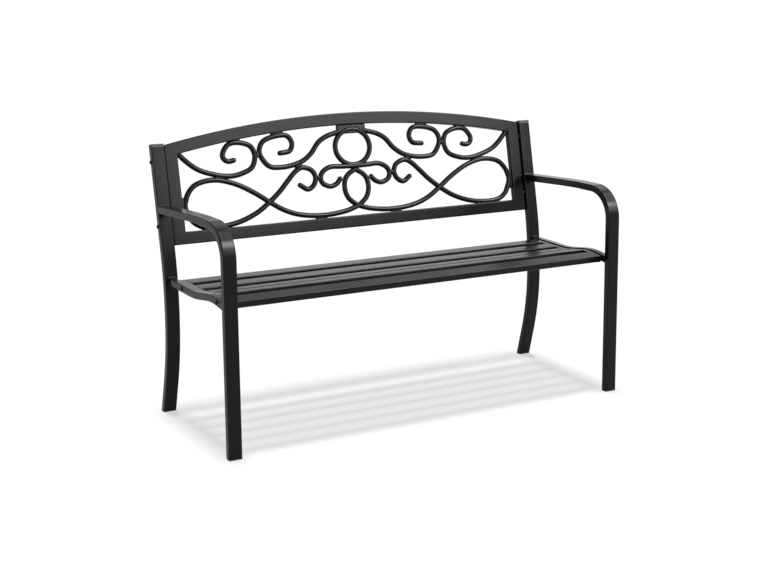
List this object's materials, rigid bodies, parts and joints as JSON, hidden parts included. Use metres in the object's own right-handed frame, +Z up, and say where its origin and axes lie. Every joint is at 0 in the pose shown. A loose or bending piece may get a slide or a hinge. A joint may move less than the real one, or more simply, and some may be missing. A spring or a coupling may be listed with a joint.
{
  "type": "garden bench",
  "caption": "Steel garden bench with bent-tube arms, a slatted seat and a leaning arched back frame filled with welded scrollwork.",
  "frame": {"origin": "centre of the bench's footprint, on the floor", "axes": "+X along the bench, +Y towards its back, +Z up"},
  "size_m": [1.2772, 0.5328, 0.8049],
  "materials": {
    "coated_steel": "satin black powder coat",
    "black_plastic": "matte black",
    "dark_hardware": "blackened steel",
    "zinc_hardware": "zinc plated"
  },
  "bodies": {
    "root": {"rear_post_left": "coated_steel", "rear_post_right": "coated_steel", "arm_and_front_leg_left": "coated_steel", "arm_and_front_leg_right": "coated_steel", "seat_support_left": "coated_steel", "seat_support_right": "coated_steel", "rear_foot_cap_left": "black_plastic", "rear_foot_cap_right": "black_plastic", "front_foot_cap_left": "black_plastic", "front_foot_cap_right": "black_plastic", "post_cap_left": "black_plastic", "post_cap_right": "black_plastic", "seat_end_bar_left": "coated_steel", "seat_end_bar_right": "coated_steel", "seat_slat_1": "coated_steel", "seat_slat_2": "coated_steel", "seat_slat_3": "coated_steel", "seat_slat_4": "coated_steel", "seat_slat_5": "coated_steel", "seat_rear_bolt_left": "dark_hardware", "seat_rear_bolt_right": "dark_hardware", "seat_front_bolt_left": "dark_hardware", "seat_front_bolt_right": "dark_hardware", "seat_rear_insert_left": "zinc_hardware", "seat_rear_insert_right": "zinc_hardware", "seat_front_insert_left": "zinc_hardware", "seat_front_insert_right": "zinc_hardware", "back_top_rail": "coated_steel", "back_bottom_rail": "coated_steel", "back_stile_left": "coated_steel", "back_stile_right": "coated_steel", "back_lower_bolt_left": "dark_hardware", "back_lower_bolt_right": "dark_hardware", "back_upper_bolt_left": "dark_hardware", "back_upper_bolt_right": "dark_hardware", "back_lower_insert_left": "zinc_hardware", "back_lower_insert_right": "zinc_hardware", "back_upper_insert_left": "zinc_hardware", "back_upper_insert_right": "zinc_hardware", "outer_scroll_left": "coated_steel", "outer_scroll_right": "coated_steel", "inner_scroll_left": "coated_steel", "inner_scroll_right": "coated_steel", "curl_bar_left": "coated_steel", "curl_bar_right": "coated_steel", "valley_bar_left": "coated_steel", "valley_bar_right": "coated_steel", "moustache_bar": "coated_steel", "teardrop": "coated_steel", "ring": "coated_steel", "crown_plate": "coated_steel"}
  },
  "joints": []
}
